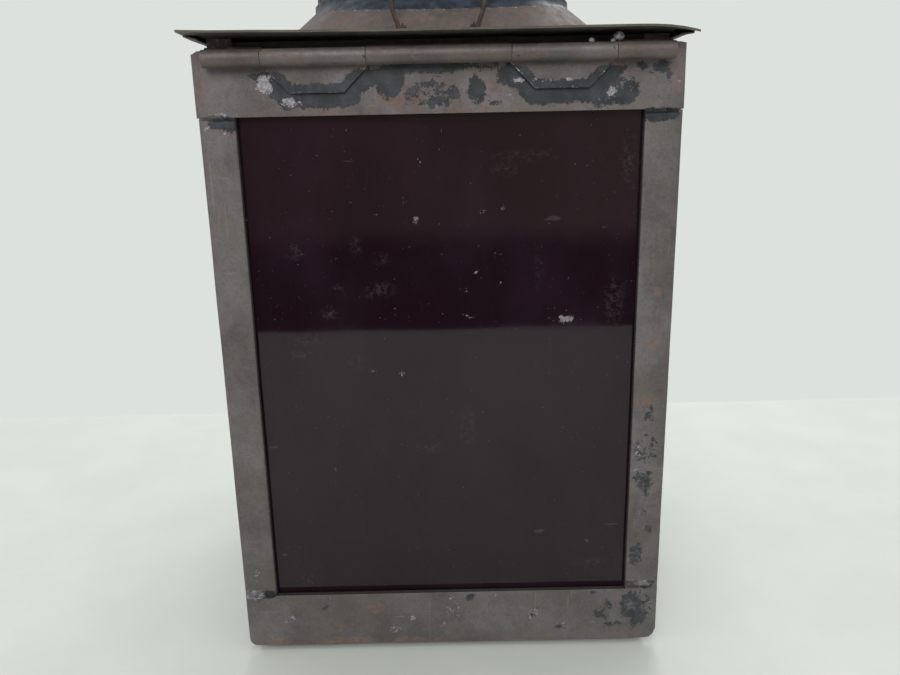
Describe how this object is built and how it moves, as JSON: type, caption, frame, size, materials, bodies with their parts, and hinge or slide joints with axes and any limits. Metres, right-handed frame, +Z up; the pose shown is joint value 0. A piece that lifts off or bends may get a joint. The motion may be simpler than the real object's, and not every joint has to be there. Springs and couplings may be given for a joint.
{
  "type": "darkroom safelight",
  "caption": "Oil-burning darkroom safelight: square tin lantern with a ruby glass door hinged along its top edge, a cone-based chimney with a light-trap hood, a wire loop and a flat-wick lamp.",
  "frame": {"origin": "on the floor plane under the chimney's centre line, at the middle of the floor pan's underside", "axes": "+Z up, the glass door faces -Y, +X towards the wick knob"},
  "size_m": [0.1965, 0.19, 0.398],
  "materials": {
    "worn_tin": "worn tinplate, dull grey-brown, with scratches, rust tints and remains of blue-black japanning",
    "rusty_tin": "heat-browned tinplate with fine rust",
    "japanned_tin": "blue-black japanning, semi-gloss, chipped",
    "bright_tin": "tinned, tarnished",
    "iron_wire": "dark iron wire with rust",
    "brass": "dull, tarnished",
    "cotton_wick": "woven cotton",
    "ruby_glass": "deep ruby, glossy, dusty and scratched"
  },
  "bodies": {
    "case": {"left_side_panel": "worn_tin", "right_side_panel": "worn_tin", "back_panel": "worn_tin", "floor_pan": "worn_tin", "hinge_leaf_case_left": "worn_tin", "hinge_leaf_case_centre": "worn_tin", "roof_plate": "rusty_tin", "hinge_leaf_case_right": "rusty_tin", "chimney_skirt": "rusty_tin", "inner_flue": "rusty_tin", "flue_flange": "rusty_tin", "flue_deflector": "rusty_tin", "deflector_stay_1": "rusty_tin", "deflector_stay_2": "rusty_tin", "deflector_stay_3": "rusty_tin", "hood_stay_1": "rusty_tin", "hood_stay_2": "rusty_tin", "hood_stay_3": "rusty_tin", "font_seat_ring": "rusty_tin", "front_sill": "japanned_tin", "top_front_rail": "japanned_tin", "air_baffle_left": "japanned_tin", "air_baffle_right": "japanned_tin", "chimney_neck": "japanned_tin", "chimney_hood": "japanned_tin", "oil_font": "bright_tin", "shaft_washer": "bright_tin", "reflector": "bright_tin", "hinge_pin": "iron_wire", "bail_eye_left": "iron_wire", "bail_eye_right": "iron_wire", "burner_collar": "brass", "burner_gallery": "brass", "flame_cone": "brass", "wick_tube": "brass"},
    "door": {"door_top_strip": "worn_tin", "door_bottom_strip": "worn_tin", "door_stile_left": "worn_tin", "door_stile_right": "worn_tin", "glass_channel_left": "worn_tin", "glass_channel_right": "worn_tin", "glass_channel_bottom": "worn_tin", "glass_clip_top": "worn_tin", "ruby_glass": "ruby_glass", "hinge_leaf_door_left": "worn_tin", "hinge_leaf_door_right": "worn_tin"},
    "bail": {"wire_bail": "iron_wire"},
    "winder": {"wick_shaft": "brass", "wick_spur_left": "brass", "wick_spur_right": "brass", "wick_knob": "brass"},
    "wick": {"wick": "cotton_wick"},
    "filler_cap": {"filler_cap": "brass"}
  },
  "joints": [
    {"name": "door_hinge", "type": "hinge", "parent": "case", "child": "door", "pos_m": [0, -0.0939, 0.2568], "axis": [-1, 0, 0], "range_deg": [0, 150]},
    {"name": "bail_swing", "type": "hinge", "parent": "case", "child": "bail", "pos_m": [0, -0.0845, 0.2676], "axis": [-1, 0, 0], "range_deg": [-60, 0]},
    {"name": "wick_winder", "type": "hinge", "parent": "case", "child": "winder", "pos_m": [0, -0.0045, 0.062], "axis": [1, 0, 0], "range_deg": [-90, 135]},
    {"name": "wick_rise", "type": "slide", "parent": "case", "child": "wick", "axis": [0, 0, 1], "range_m": [-0.0055, 0.0082]},
    {"name": "filler_cap_lift", "type": "slide", "parent": "case", "child": "filler_cap", "axis": [0, 0, 1], "range_m": [0, 0.012]}
  ],
  "couplings": [
    {"joint": "wick_rise", "follows": "wick_winder", "m_per_rad": 0.0034}
  ]
}
